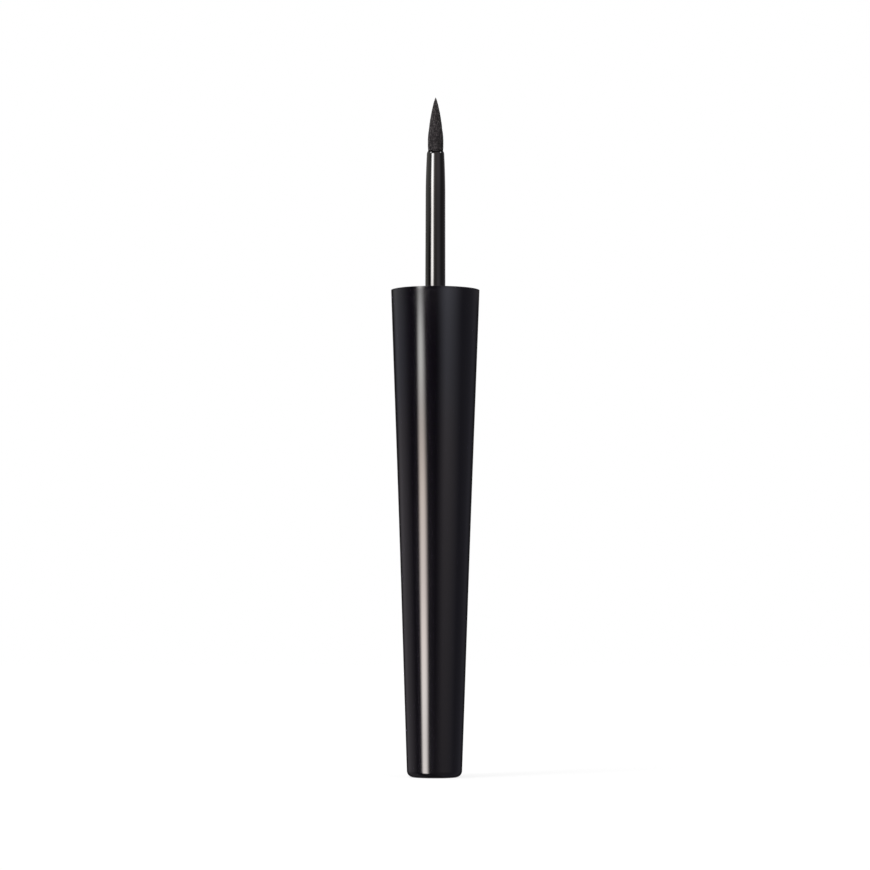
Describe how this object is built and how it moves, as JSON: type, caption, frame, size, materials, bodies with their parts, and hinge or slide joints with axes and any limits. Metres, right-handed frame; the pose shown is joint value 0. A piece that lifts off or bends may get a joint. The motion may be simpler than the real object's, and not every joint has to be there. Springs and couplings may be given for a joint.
{
  "type": "dip eyeliner applicator",
  "caption": "Tapered gloss black cap with a threaded inner cap, foam neck washer, slim dip stem and pointed felt tip, standing on its closed end with the tip up.",
  "frame": {"origin": "centre of the closed narrow end's flat face, which the applicator stands on", "axes": "+Z along the common axis of all pieces, from the closed end through the open mouth to the point of the tip; the part is turned about Z, so +X and +Y are not marked on it"},
  "size_m": [0.013, 0.013, 0.0998],
  "materials": {
    "shell_plastic": "polished moulded black plastic",
    "inner_cap_plastic": "as-moulded black polypropylene",
    "washer_foam": "white closed-cell foam",
    "stem_plastic": "gloss black plastic",
    "tip_felt": "bonded black fibre felt, matte"
  },
  "bodies": {
    "root": {"outer_shell": "shell_plastic", "inner_cap": "inner_cap_plastic", "sealing_washer": "washer_foam", "stem": "stem_plastic", "felt_tip": "tip_felt"}
  },
  "joints": []
}
